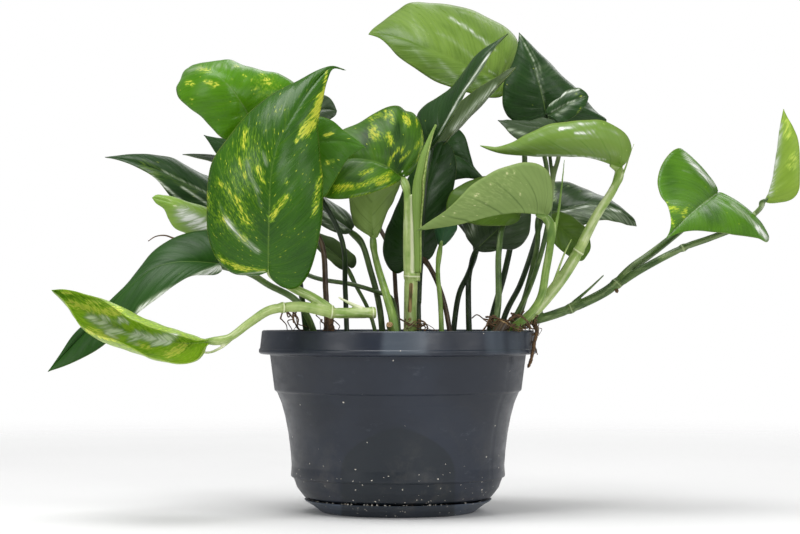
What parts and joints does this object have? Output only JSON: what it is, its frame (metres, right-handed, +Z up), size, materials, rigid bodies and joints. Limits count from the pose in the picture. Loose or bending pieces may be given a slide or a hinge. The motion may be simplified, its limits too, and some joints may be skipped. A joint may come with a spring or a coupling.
{
  "type": "potted pothos plant",
  "caption": "Young pothos with heart-shaped, partly variegated leaves on trailing stems, in a round dark plastic nursery pot on a shallow clip-on saucer.",
  "frame": {"origin": "centre of the saucer's underside, on the surface the pot stands on", "axes": "+Z up along the pot's axis, +X to the right and +Y to the back as seen from the front, where the trailing stems reach out to both sides"},
  "size_m": [0.3949, 0.1669, 0.2855],
  "materials": {
    "pot_plastic": "satin",
    "soil": "matte",
    "stalk_green": "satin",
    "stem_cut": "matte",
    "leaf_green": "gloss",
    "leaf_dark": "gloss",
    "leaf_pale": "satin",
    "leaf_mottled": "gloss"
  },
  "bodies": {
    "root": {"pot": "pot_plastic", "saucer": "pot_plastic", "potting_soil": "soil", "runner_left": "stalk_green", "runner_right": "stalk_green", "main_stem": "stalk_green", "stalk_long_left": "stalk_green", "stalk_upper_left": "stalk_green", "stalk_pale_left": "stem_cut", "stalk_top_left": "stalk_green", "stalk_back_left": "stem_cut", "stalk_long_back": "stalk_green", "stalk_mid_left": "stalk_green", "stalk_cupped": "stalk_green", "stalk_spears": "stalk_green", "stalk_top": "stalk_green", "stalk_top_right": "stalk_green", "stalk_small_right": "stalk_green", "stalk_arched": "stalk_green", "stalk_mid_right": "stalk_green", "stalk_dark_pair": "stalk_green", "stalk_dark_centre": "stalk_green", "stalk_olive": "stalk_green", "stalk_dark_right": "stalk_green", "stalk_small_left": "stalk_green", "stalk_bluish": "stalk_green", "cut_stem_right": "stem_cut", "leaf_front": "leaf_mottled", "leaf_low_left": "leaf_mottled", "leaf_long_left": "leaf_dark", "leaf_upper_left": "leaf_dark", "leaf_pale_left": "leaf_pale", "leaf_top_left": "leaf_mottled", "leaf_back_left": "leaf_dark", "leaf_long_back": "leaf_dark", "leaf_mid_left": "leaf_green", "leaf_small_grey": "leaf_dark", "leaf_centre": "leaf_mottled", "leaf_cupped": "leaf_pale", "leaf_spear_back": "leaf_dark", "leaf_spear_front": "leaf_dark", "leaf_top": "leaf_pale", "leaf_top_right": "leaf_dark", "leaf_small_right": "leaf_dark", "leaf_folded_right": "leaf_green", "leaf_arched": "leaf_pale", "leaf_mid_right": "leaf_pale", "leaf_dark_dome": "leaf_dark", "leaf_dark_centre": "leaf_dark", "leaf_olive": "leaf_green", "leaf_dark_right": "leaf_dark", "leaf_disc_right": "leaf_green", "leaf_far_right": "leaf_green", "leaf_right_tip": "leaf_pale", "leaf_grey_low": "leaf_dark", "leaf_small_left": "leaf_green", "leaf_bluish": "leaf_green", "leaf_rolled": "leaf_pale"}
  },
  "joints": []
}
